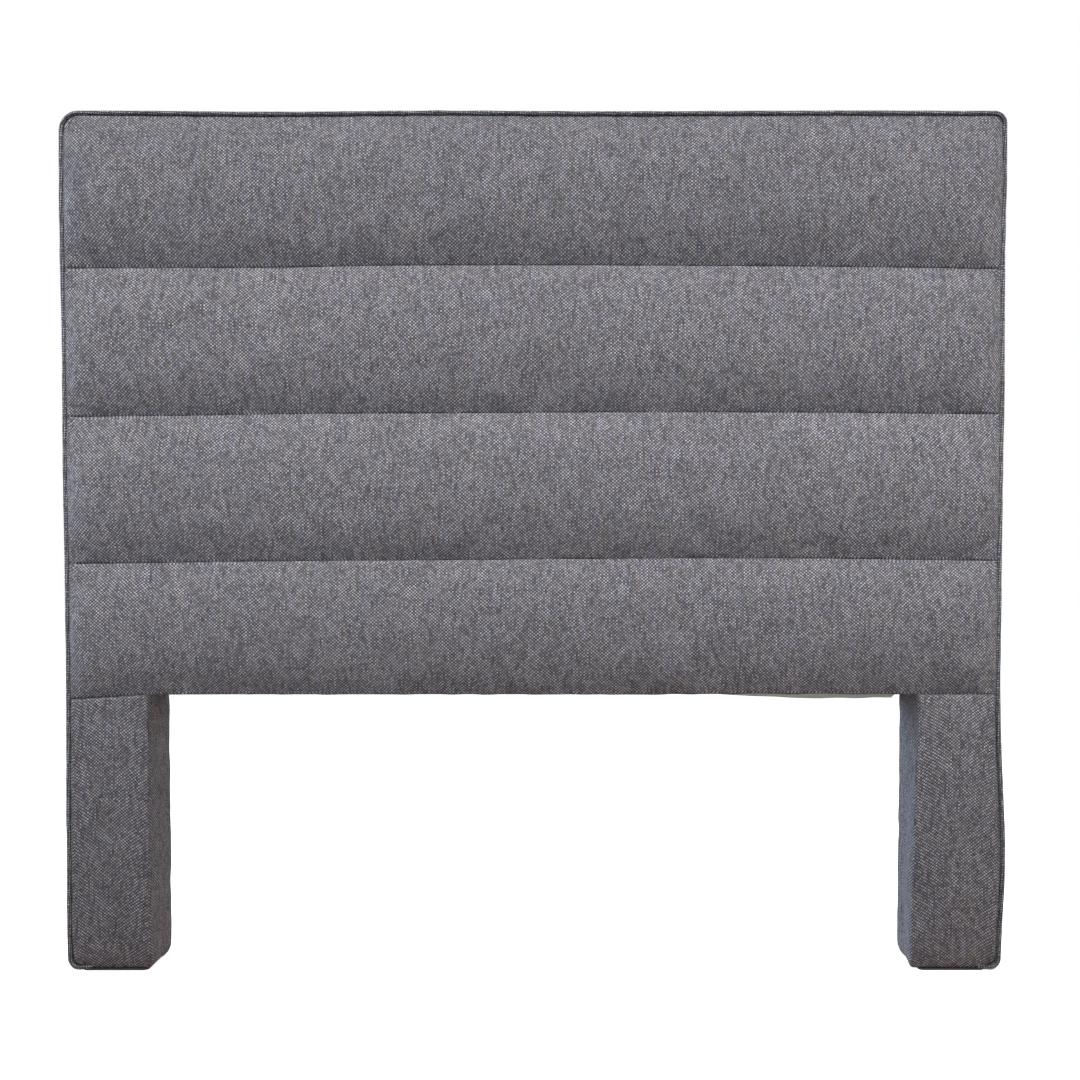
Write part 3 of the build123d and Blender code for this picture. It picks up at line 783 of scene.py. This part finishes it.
def leg_surface(creases, seed):
    """The outer grid of the left leg's cloth: columns follow the plan, rows go from the hem to the seam."""
    x, y = plan.T[:, None]
    depth_share = (y - LEG_MIDDLE[1]) / LEG_HALF[1]
    curl_height = np.interp(depth_share, [-1, 0, 1], CURL_HEIGHTS)
    curl_depth = np.interp(depth_share, [-1, 0, 1], CURL_DEPTHS)
    angle = np.radians(np.linspace(0, 90, CURL_ROWS))
    even = np.linspace(0, 1, UP_ROWS + 1)[1:]
    up = 0.55 * even + 0.45 * np.sin(even * math.pi / 2)
    hem_share = np.pad(np.linspace(1, 0, HEM_ROWS + 1)[:-1], (0, CURL_ROWS + UP_ROWS))[:, None]
    curl_share = np.concatenate([np.zeros(HEM_ROWS), 1 - np.cos(angle), np.ones(UP_ROWS)])[:, None]
    up_share = np.pad(up, (HEM_ROWS + CURL_ROWS, 0))[:, None]
    top = seam_height("leg", x) - 2 * SEAM_GAP
    z = leg_low[2] + curl_height * curl_share + (top - leg_low[2] - curl_height) * up_share
    drawn_x = 0.008 * curl(z - leg_low[2], 0.012) + HEM_UNDER * hem_share
    drawn_y = curl_depth * curl(z - leg_low[2], curl_height) + HEM_UNDER * hem_share
    upright = z > leg_low[2] + 0.004
    front = np.clip(1 - (y - leg_low[1]) / 0.008, 0, 1) * upright
    x = LEG_MIDDLE[0] + (x - LEG_MIDDLE[0]) * (1 - drawn_x / LEG_HALF[0])
    y = LEG_MIDDLE[1] + (y - LEG_MIDDLE[1]) * (1 - drawn_y / LEG_HALF[1])
    # The front dives back along the welt and along the seam.
    over = np.clip((x - leg_low[0]) / 0.014, 0, 1)
    y = y + front * 0.0042 * (1 - np.sqrt(1 - (1 - over) ** 2))
    near_top = np.clip(1 - (top - z) / 0.005, 0, 1)
    y = y + front * 0.0040 * (1 - np.sqrt(1 - near_top ** 2))
    # Dents, the crown of the pad, puckers under the seam and folds.
    calm = front * smooth(z, 0.0, 0.03) * smooth(top - z, 0.0, 0.02)
    relief = 0.0010 * unevenness(x, z, 0.07, seed) + 0.0005 * unevenness(x, z, 0.025, seed + 1)
    relief = relief + 0.0018 * (1 - ((x - LEG_MIDDLE[0]) / LEG_HALF[0]) ** 2)
    relief = relief + 0.0005 * unevenness(x, 0.0, 0.018, seed + 2, waves=9) * np.exp(-(top - z) / 0.014)
    for place, length, width, height, turned in creases:
        relief = relief + height * crease(x, z, place, length, width, turned)
    y = y - relief * calm
    side = np.clip((y - leg_low[1]) / 0.006, 0, 1) * upright * (x > leg_high[0] - 0.004)
    x = x + side * 0.0007 * unevenness(y, z, 0.06, seed + 3)
    return together(x, y, z)


def kept_off_welt(points):
    """Draw points at the outer lower corner onto the inner side of the welt cord."""
    centre = np.array([leg_low[0] + WELT_INSIDE, leg_low[2] + FOOT_RADIUS])
    from_centre = points[..., [0, 2]] - centre
    distance = np.linalg.norm(from_centre, axis=-1, keepdims=True)
    corner = ((from_centre < 0).all(axis=-1, keepdims=True)) & (distance > WELT_INSIDE)
    drawn = centre + from_centre * WELT_INSIDE / np.maximum(distance, 1e-6)
    kept = points.copy()
    kept[..., [0, 2]] = np.where(corner, drawn, points[..., [0, 2]])
    return kept


def leg_inside(outer):
    """The inner grid of a leg's cloth: drawn in by the pad in front and by the cloth elsewhere."""
    x, y, z = outer[..., 0], outer[..., 1], outer[..., 2]
    top = z.max(axis=0)
    x = leg_low[0] + (x - leg_low[0]) * (1 - LEG_CLOTH / (leg_high[0] - leg_low[0]))
    y = PANEL_FACE + (y - leg_low[1]) * (leg_high[1] - LEG_CLOTH - PANEL_FACE) / (leg_high[1] - leg_low[1])
    return together(x, y, top - (top - z) * (1 - LEG_CLOTH / (top - leg_low[2])))


def mirrored(points, lift):
    """The same grid for the right side, raised by the lift."""
    return (points * (-1, 1, 1) + together(0.0, 0.0, lift))[:, ::-1]


leg_creases = {
    "left": [  # place, half length, half width, height (outwards), turn
        ((-0.735, 0.3696), 0.034, 0.0050, -0.0016, 0.05),
        ((-0.735, 0.3800), 0.034, 0.0060, 0.0010, 0.05),
        ((-0.752, 0.3086), 0.015, 0.0030, -0.0022, 0.10),
        ((-0.742, 0.3170), 0.022, 0.0060, 0.0012, 0.10),
        ((-0.746, 0.1760), 0.007, 0.0045, -0.0018, 0.0),
        ((-0.736, 0.1830), 0.020, 0.0060, 0.0008, 0.35),
        ((-0.715, 0.1280), 0.030, 0.0070, -0.0010, 0.75),
    ],
    "right": [  # still on the left, before the grid is mirrored
        ((-0.730, 0.3400), 0.030, 0.0060, -0.0009, -0.10),
        ((-0.746, 0.3020), 0.006, 0.0045, -0.0012, 0.0),
        ((-0.746, 0.1700), 0.006, 0.0045, -0.0012, 0.0),
        ((-0.712, 0.2100), 0.026, 0.0080, -0.0010, 0.80),
    ],
}
# Spots of painted shade in the legs' dents and folds: x, z, half width, half height, darkness.
leg_shade_painted = {
    "left": [(-0.7547, 0.3088, 0.0100, 0.0016, 0.75), (-0.746, 0.1760, 0.0022, 0.0022, 0.7)],
    "right": [(0.748, 0.3020, 0.0016, 0.0016, 0.35), (0.748, 0.1700, 0.0016, 0.0016, 0.35)],
}
# The legs' tweed is painted darker than the panel's as shade, the left leg more than the right.
leg_tone_painted_shade = {"left": 0.084, "right": 0.095}
for number, name in enumerate(("left", "right")):
    outer = leg_surface(leg_creases[name], seed=90 + 10 * number)
    inner = leg_inside(outer)
    outer, inner = kept_off_welt(outer), kept_off_welt(inner)
    if name == "right":
        seam_shift = seam_height("leg", -outer[..., 0]) - seam_height("leg", outer[..., 0])
        lift = seam_shift * smooth(outer[..., 2], 0.30, 0.488)
        outer, inner = mirrored(outer, lift), mirrored(inner, lift)
    finish = tweed(f"leg_tweed_painted_shade_{name}", leg_shade_painted[name], base=leg_tone_painted_shade[name], seed=5.0 + number)
    outer, inner = settled(outer), settled(inner)
    leg = closed_shell(f"leg_{name}", outer, inner, finish, flat_shift=(1.7 * number, 7.0))
    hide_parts(f"leg_cover_{name}", f"leg_pad_{name}")

# %% [markdown]
# ### Cloth at the back of the feet
# The cloth is also drawn under each foot and up its back, where the lining covers its edge. Its section, a
# line with one large rounded corner, is carried straight across the leg.

# %% Flaps at the back of the feet
FLAP_ENDS = (0.6735, 0.8065)
FLAP_RADIUS = 0.0194
FLAP_CLOTH = 0.0010
FLAP_CENTRE = (0.0436, 0.0240)  # y and z of the rounded corner


def flap_section(radius):
    """Under the foot, round a quarter circle and up the back, as points (y, z)."""
    angle = np.radians(np.linspace(-90, 0, 14))
    turn = together(FLAP_CENTRE[0] + radius * np.cos(angle), FLAP_CENTRE[1] + radius * np.sin(angle))
    under = together(np.linspace(0.018, 0.0420, 7), turn[0, 1])
    above = together(turn[-1, 0], np.linspace(0.0255, 0.0345, 5))
    return np.concatenate([under, turn, above])


for side, name in ((-1, "left"), (1, "right")):
    x = side * np.linspace(*FLAP_ENDS, 60)[::-side]
    grids = []
    for radius in (FLAP_RADIUS, FLAP_RADIUS - FLAP_CLOTH):
        section = flap_section(radius)
        y, z = section[:, 0][:, None], section[:, 1][:, None]
        relief = 0.0003 * unevenness(x, z, 0.03, seed=130 + side)
        grids.append(together(x, y + relief * (z > 0.012), z))
    flap = closed_shell(f"foot_hem_{name}", *grids, panel_tweed, flat_shift=(3.1 * side, 11.0))

# %% [markdown]
# ## Under the panel
# Between the legs a strip of the same cloth closes the panel from below. It starts behind the lowest channel,
# runs to the back and is turned up there. It is thin and stretched, so its two grids lie close together.

# %% The strip of cloth under the panel
UNDERSIDE_CLOTH = 0.0013
under_low, under_high = corners("underside_cover")
section = rounded_line([under_low[1:], (under_high[1], under_low[2]), under_high[1:]], [0.003], 0.004)
x = np.linspace(under_low[0], under_high[0], 271)
facing = np.gradient(section, axis=0)
facing = together(-facing[:, 1], facing[:, 0]) / np.linalg.norm(facing, axis=1, keepdims=True)
grids = []
for inside in (0.0, UNDERSIDE_CLOTH):
    y = (section[:, 0] + facing[:, 0] * inside)[:, None]
    z = (section[:, 1] + facing[:, 1] * inside)[:, None]
    sag = 0.0005 * unevenness(x, y, 0.06, seed=31) * (1 - smooth(z, under_low[2], under_low[2] + 0.01))
    grids.append(settled(together(x, y, z + sag))[::-1])
underside = closed_shell("underside", *grids, panel_tweed, flat_shift=(2.2, 9.0))
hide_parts("underside_cover")

# %% [markdown]
# ## The back
# A pale lining, folded at its edges and stapled along them, closes the back of the panel and of each leg. It
# is thin, so it sinks a little between the rails and ripples between the staples. Under the right half of
# the panel its lower edge hangs down about two centimetres, and the last of it shows from the front.

# %% Lining
LINING_CLOTH = 0.0009
BELOW_BACK = 0.0015  # keeps the linings of the legs clear of the one above
STAPLE_STEP = 0.045
back_low, back_high = corners("back_lining")
stile, post = corners("centre_stile"), corners("outer_post_right")
upright_bars = [(-back_high[0], -post[0][0]), (stile[0][0], stile[1][0]), (post[0][0], back_high[0])]
rail_names = ("bottom", "lower", "middle", "upper", "top")
level_bars = [[corner[2] for corner in corners(f"{name}_rail")] for name in rail_names]


def bay_share(place, bars):
    """How far a place lies into the space between two bars: 0 on a bar, 1 half way between two."""
    share = np.zeros_like(place)
    for (_, below), (above, _) in zip(bars, bars[1:]):
        share += np.sin(np.clip((place - below) / (above - below), 0, 1) * math.pi)
    return share


def lining(name, low, high, radius, slack, sink=0.0, droop=0.0):
    """A lining between two corners: flat on timber, sunk in the bays, doubled and rippled at its edges."""
    columns, rows = (max(int((high[i] - low[i]) / 0.008), 24) for i in (0, 2))
    x = ((high[0] + low[0]) / 2 + (high[0] - low[0]) / 2 * crowded(columns))[None, :]
    share = (crowded(rows)[:, None] + 1) / 2
    over = np.clip(np.abs(x) - (high[0] - radius), 0, radius)
    top = high[2] - radius + np.sqrt(radius * radius - over * over)
    z = low[2] + (top - low[2]) * share
    edge = np.minimum(np.minimum(x - low[0], high[0] - x), np.minimum(z - low[2], top - z))
    folded = 0.0006 * (1 - smooth(edge, 0.010, 0.013))
    ripple = 0.0005 * np.cos((x + z) * 2 * math.pi / STAPLE_STEP) * np.exp(-edge / 0.02)
    waves = slack * unevenness(x, z, 0.16, seed=51) * smooth(edge, 0.0, 0.05)
    # The droop grows from the middle to the right, eases a little and ends before the leg.
    hanging = droop * smooth(x, 0.085, 0.514) * (1 - 0.07 * smooth(x, 0.58, 0.64))
    hanging = hanging * (1 - smooth(x, 0.660, 0.676))
    hanging = hanging * (1 + 0.04 * unevenness(x, 0.0, 0.09, seed=52)) * (1 - smooth(z, 0.49, 0.58))
    sunk = sink * bay_share(x, upright_bars) * bay_share(z, level_bars)
    depth = high[1] - sunk + folded + ripple + waves + 0.2 * hanging
    outer = together(x, depth, z - hanging)[:, ::-1]
    sheet = closed_shell(name, outer, outer - np.array([0, LINING_CLOTH, 0]), lining_finish, "lining")
    return sheet


back = lining("back_lining_cloth", back_low, back_high, 0.022, slack=0.0006, sink=0.0032, droop=0.0245)
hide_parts("back_lining")
for name in ("left", "right"):
    low, high = corners(f"leg_lining_{name}")
    piece = lining(f"leg_lining_cloth_{name}", low, high - np.array([0, 0, BELOW_BACK]), 0.0, slack=0.0004)
    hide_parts(f"leg_lining_{name}")

# %% [markdown]
# ### Staples and loose threads
# Staples hold the lining every few centimetres. One staple is a bent wire of a few dozen faces, and all are
# one mesh: the same short path, put in place and turned as whole arrays. A few frayed warp ends stick out at
# the left corner of the gap.

# %% Staples
INSET = 0.006


def staple_row(start, end):
    """Middles and directions of staples in a row from start to end."""
    start, end = np.array(start), np.array(end)
    count = int(np.linalg.norm(end - start) / STAPLE_STEP) + 1
    way = (end - start) / np.linalg.norm(end - start)
    return between(start, end, count), np.broadcast_to(way, (count, 2))


upper, lower, side = back_high[2] - INSET, back_low[2] + INSET, back_high[0] - INSET
rows = [staple_row((-0.78, upper), (0.78, upper))]
rows += [staple_row((edge, 0.52), (edge, 1.45)) for edge in (side, -side)]
rows += [staple_row((first, lower), (last, lower)) for first, last in ((-0.78, 0.10), (0.69, 0.78))]
for name in ("left", "right"):
    low, high = corners(f"leg_lining_{name}")
    for edge in (low[0] + INSET, high[0] - INSET):
        rows.append(staple_row((edge, low[2] + 0.02), (edge, high[2] - 0.03)))
    rows.append(staple_row((low[0] + 0.02, low[2] + INSET), (high[0] - 0.02, low[2] + INSET)))
middles, ways = (np.concatenate(parts) for parts in zip(*rows))
wire = np.array([(-0.0055, -0.004), (-0.0055, 0.0006), (-0.0048, 0.0013), (0.0, 0.0014), (0.0048, 0.0013),
                 (0.0055, 0.0006), (0.0055, -0.004)])
chance = np.random.default_rng(77)
tilt = chance.normal(0, 0.12, len(middles))[:, None]
ways = ways + together(-ways[:, 1], ways[:, 0]) * tilt
ways = ways / np.linalg.norm(ways, axis=1, keepdims=True)
middles = middles + chance.normal(0, 0.0012, middles.shape)
paths = together(
    middles[:, :1] + ways[:, :1] * wire[:, 0],
    back_high[1] + 0.0004 + wire[:, 1],
    middles[:, 1:] + ways[:, 1:] * wire[:, 0],
)
tubes("staples", paths, 0.00045, 5, together(-ways[:, 1], 0.0, ways[:, 0])[:, None], zinc)
print(len(middles), "staples")

# %% Frayed threads at the left corner of the gap
share = np.linspace(0, 1, 9)[None, :]
starts = np.array([-0.6285, -0.6250, -0.6215, -0.6160, -0.6120])[:, None]
lengths = np.array([0.007, 0.010, 0.006, 0.009, 0.005])[:, None]
bends = np.array([0.6, -0.5, 0.9, -0.8, 0.4])[:, None]
frays = together(
    starts + lengths * (0.45 * bends * share + 0.3 * bends * share ** 2),
    -0.0445 - 0.004 * share,
    0.4900 - lengths * share * (1 - 0.35 * share),
)
tubes("loose_threads", frays, 0.00028, 5, (0.0, 1.0, 0.0), thread)

# %% [markdown]
# ## Finishes for the solids that stay
# The rigid solids have their true shape. Each one gets its finish in its material slot and is otherwise left
# alone. The grain runs up in uprights and across in rails.

# %% Put finishes on the frame
finish_words = {
    "rail": pine_level, "post": pine_upright, "stile": pine_upright, "foot_block": pine_level,
    "bolt_block": pine_upright, "front_panel": birch_face, "leg_facing": birch_face, "screws": zinc,
    "base_glide": glide_plastic, "cover": panel_tweed, "foam": thread, "pad": thread,
    "border": panel_tweed, "welt": welt_tweed_painted_shade, "lining": lining_finish,
}
for node_name, node in nodes.items():
    finish = next(finish for word, finish in finish_words.items() if word in node_name)
    node.data.materials.clear()
    node.data.materials.append(finish)
print("finishes on", len(nodes), "solids")

# %% [markdown]
# ## Floor, light and camera
# The headboard stands on a white floor in front of white. The floor glows for camera rays only, so it looks
# white without brightening the cloth. Four lamps with soft edges give the light: a broad one high in front, a
# cool one from the left like a window, a weak warm one from the right, and one behind for the lining.

# %% Floor and surroundings
REACH = 14.0


def camera_sees(start):
    """1 where a ray comes from the camera or by way of a mirror or glass, and 0 elsewhere."""
    rays = ("Is Camera Ray", "Is Glossy Ray", "Is Transmission Ray")
    return sum(start.node("LightPath", output=ray) for ray in rays).clamped()


floor_mesh = bpy.data.meshes.new("floor")
floor_corners = [(REACH * x, REACH * y, 0) for x, y in ((-1, -1), (1, -1), (1, 1), (-1, 1))]
floor_mesh.from_pydata(floor_corners, [], [(0, 1, 2, 3)])
floor = placed("floor", floor_mesh)
floor_finish, shader, start = new_finish(
    "white_floor", Roughness=0.9, Specular_IOR_Level=0.1, Emission_Strength=1.0
)
seen = camera_sees(start)
away = start.node("VectorMath", {"Vector": start.place()}, "Value", operation="LENGTH")
near_to_far = mixed((away - 0.9).clamped(), (0.46, 0.29, 0.18, 1), (0.29, 0.30, 0.33, 1))
floor_colour = mixed(seen, near_to_far, (0.8, 0.8, 0.8, 1))
connect(shader, Base_Color=floor_colour, Emission_Color=mixed(seen, (0, 0, 0, 1), (0.9, 0.9, 0.9, 1)))
floor_mesh.materials.append(floor_finish)

world = bpy.data.worlds.new("surroundings")
bpy.context.scene.world = world
world.use_nodes = True
background = world.node_tree.nodes["Background"]
sky = Wire(world.node_tree, background.outputs[0])
seen = camera_sees(sky)
ambient = 0.07 + 0.22 * (sky.place("Generated").part("Z") * 0.8 + 0.3).clamped()
colour = mixed(seen, (0.76, 0.90, 1.18, 1), (1, 1, 1, 1))
connect(background, Color=colour, Strength=seen + (1 - seen) * ambient)
print("white floor and surroundings")

# %% Lamps


def lamp(name, place, aim, size, watts, colour, spread=180):
    """A soft rectangular lamp that faces a point. It isn't seen by the camera itself."""
    data = bpy.data.lights.new(name, "AREA")
    data.shape = "RECTANGLE"
    data.size, data.size_y = size
    data.energy = watts
    data.color = colour
    data.spread = math.radians(spread)
    light = placed(name, data)
    way = np.array(aim, float) - np.array(place, float)
    light.location = place
    light.rotation_euler = (
        math.atan2(math.hypot(way[0], way[1]), -way[2]), 0, math.atan2(-way[0], way[1]),
    )
    light.visible_camera = False


lamp("front", (-0.10, -2.52, 3.62), (-0.08, 0.0, 1.02), (3.2, 1.2), 13.9, (1.0, 0.955, 0.885), spread=22)
lamp("window", (-3.0, 1.25, 1.3), (-0.2, 0.0, 0.9), (2.6, 2.0), 104, (0.62, 0.81, 1.0))
lamp("room", (3.2, -1.2, 0.8), (0.5, 0.0, 0.6), (1.6, 1.6), 11, (1.0, 0.74, 0.52))
lamp("behind", (0.6, 3.2, 2.6), (0.0, 0.0, 0.7), (2.6, 1.6), 40, (1.0, 0.93, 0.84))
bpy.context.scene.view_settings.view_transform = "Standard"
print("four lamps")

# %% [markdown]
# The camera stands two metres in front, a little below half the headboard's height. It looks down by less
# than two degrees with its picture shifted up, as an architect's camera does it, to keep upright lines so.

# %% Camera
camera_data = bpy.data.cameras.new("camera")
camera_data.lens = 37.64
camera_data.sensor_width = 36
camera_data.shift_x = -0.0121
camera_data.shift_y = 0.0635
camera = placed("camera", camera_data)
camera.location = (0.0347, -2.011, 0.70)
camera.rotation_euler = (math.radians(90 - 1.801), math.radians(0.015), 0)
bpy.context.scene.camera = camera
